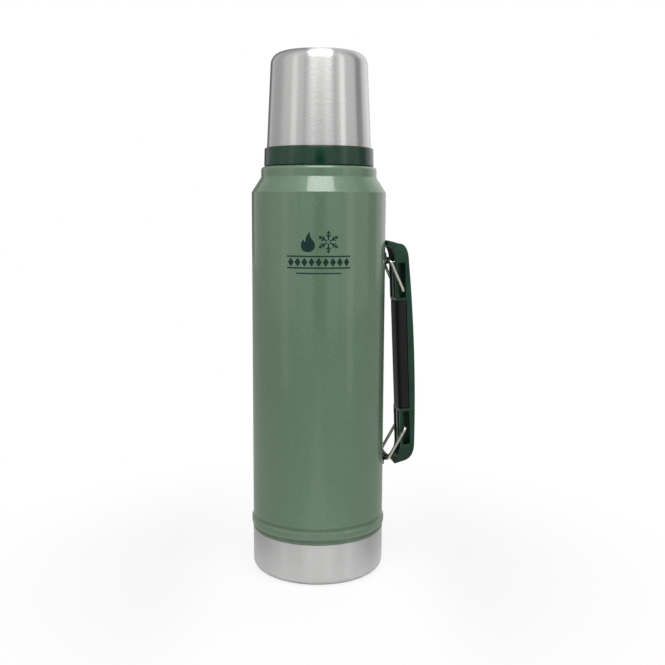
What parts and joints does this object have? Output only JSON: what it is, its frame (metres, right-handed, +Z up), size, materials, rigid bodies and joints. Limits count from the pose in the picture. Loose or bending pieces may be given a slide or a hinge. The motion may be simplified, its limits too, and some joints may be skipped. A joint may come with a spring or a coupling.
{
  "type": "vacuum flask",
  "caption": "Tall round vacuum flask with a screw stopper, a steel cup for a lid, a bare steel base and a fold-in carrying handle on wire bails.",
  "frame": {"origin": "on the flask's axis, in the plane that it stands on", "axes": "+Z up along the flask's axis, +X towards the handle"},
  "size_m": [0.1169, 0.0952, 0.3626],
  "materials": {
    "hammered_green": "hammered enamel, satin gloss",
    "brushed_steel": "fine circular brushing",
    "bare_steel": "satin",
    "wire_steel": "bright drawn wire",
    "dark_green_plastic": "glossy moulded",
    "handle_green": "semi-gloss moulded",
    "bracket_green": "semi-gloss paint",
    "grip_rubber": "satin soft moulding",
    "silicone": "matte",
    "foam": "matte"
  },
  "bodies": {
    "bottle": {"outer_shell": "hammered_green", "base_cup": "brushed_steel", "base_disc": "brushed_steel", "vacuum_seal": "bare_steel", "inner_vessel": "bare_steel", "inner_bottom": "bare_steel", "getter": "bare_steel", "threaded_neck": "bare_steel", "upper_bracket": "bracket_green", "lower_bracket": "bracket_green"},
    "cup": {"cup_outer": "brushed_steel", "cup_liner": "bare_steel", "cup_collar": "dark_green_plastic"},
    "gasket": {"stopper_gasket": "silicone"},
    "stopper": {"stopper_body": "dark_green_plastic", "stopper_cap": "dark_green_plastic", "stopper_base": "dark_green_plastic", "stopper_insulation": "foam", "stopper_seal": "silicone"},
    "upper_bail": {"upper_bail": "wire_steel"},
    "lower_bail": {"lower_bail": "wire_steel"},
    "handle": {"handle_frame": "handle_green", "handle_grip": "grip_rubber"}
  },
  "joints": [
    {"name": "cup_lift", "type": "slide", "parent": "bottle", "child": "cup", "axis": [0, 0, 1], "range_m": [0, 0.095]},
    {"name": "stopper_rise", "type": "slide", "parent": "bottle", "child": "gasket", "axis": [0, 0, 1], "range_m": [0, 0.0091]},
    {"name": "stopper_turn", "type": "hinge", "parent": "gasket", "child": "stopper", "pos_m": [0, 0, 0.3], "axis": [0, 0, 1], "range_deg": [0, 540]},
    {"name": "bail_swing", "type": "hinge", "parent": "bottle", "child": "upper_bail", "pos_m": [0.0489, 0, 0.221], "axis": [0, -1, 0], "range_deg": [0, 20]},
    {"name": "handle_swivel", "type": "hinge", "parent": "upper_bail", "child": "handle", "pos_m": [0.0589, 0, 0.1993], "axis": [0, -1, 0], "range_deg": [-20.1, 0]},
    {"name": "lower_bail_swing", "type": "hinge", "parent": "bottle", "child": "lower_bail", "pos_m": [0.0489, 0, 0.0784], "axis": [0, 1, 0], "range_deg": [0, 20.1]}
  ],
  "couplings": [
    {"joint": "stopper_rise", "follows": "stopper_turn", "m_per_rad": 0.00095493},
    {"joint": "handle_swivel", "follows": "bail_swing", "ratio": -1},
    {"joint": "lower_bail_swing", "follows": "bail_swing", "ratio": 1}
  ]
}
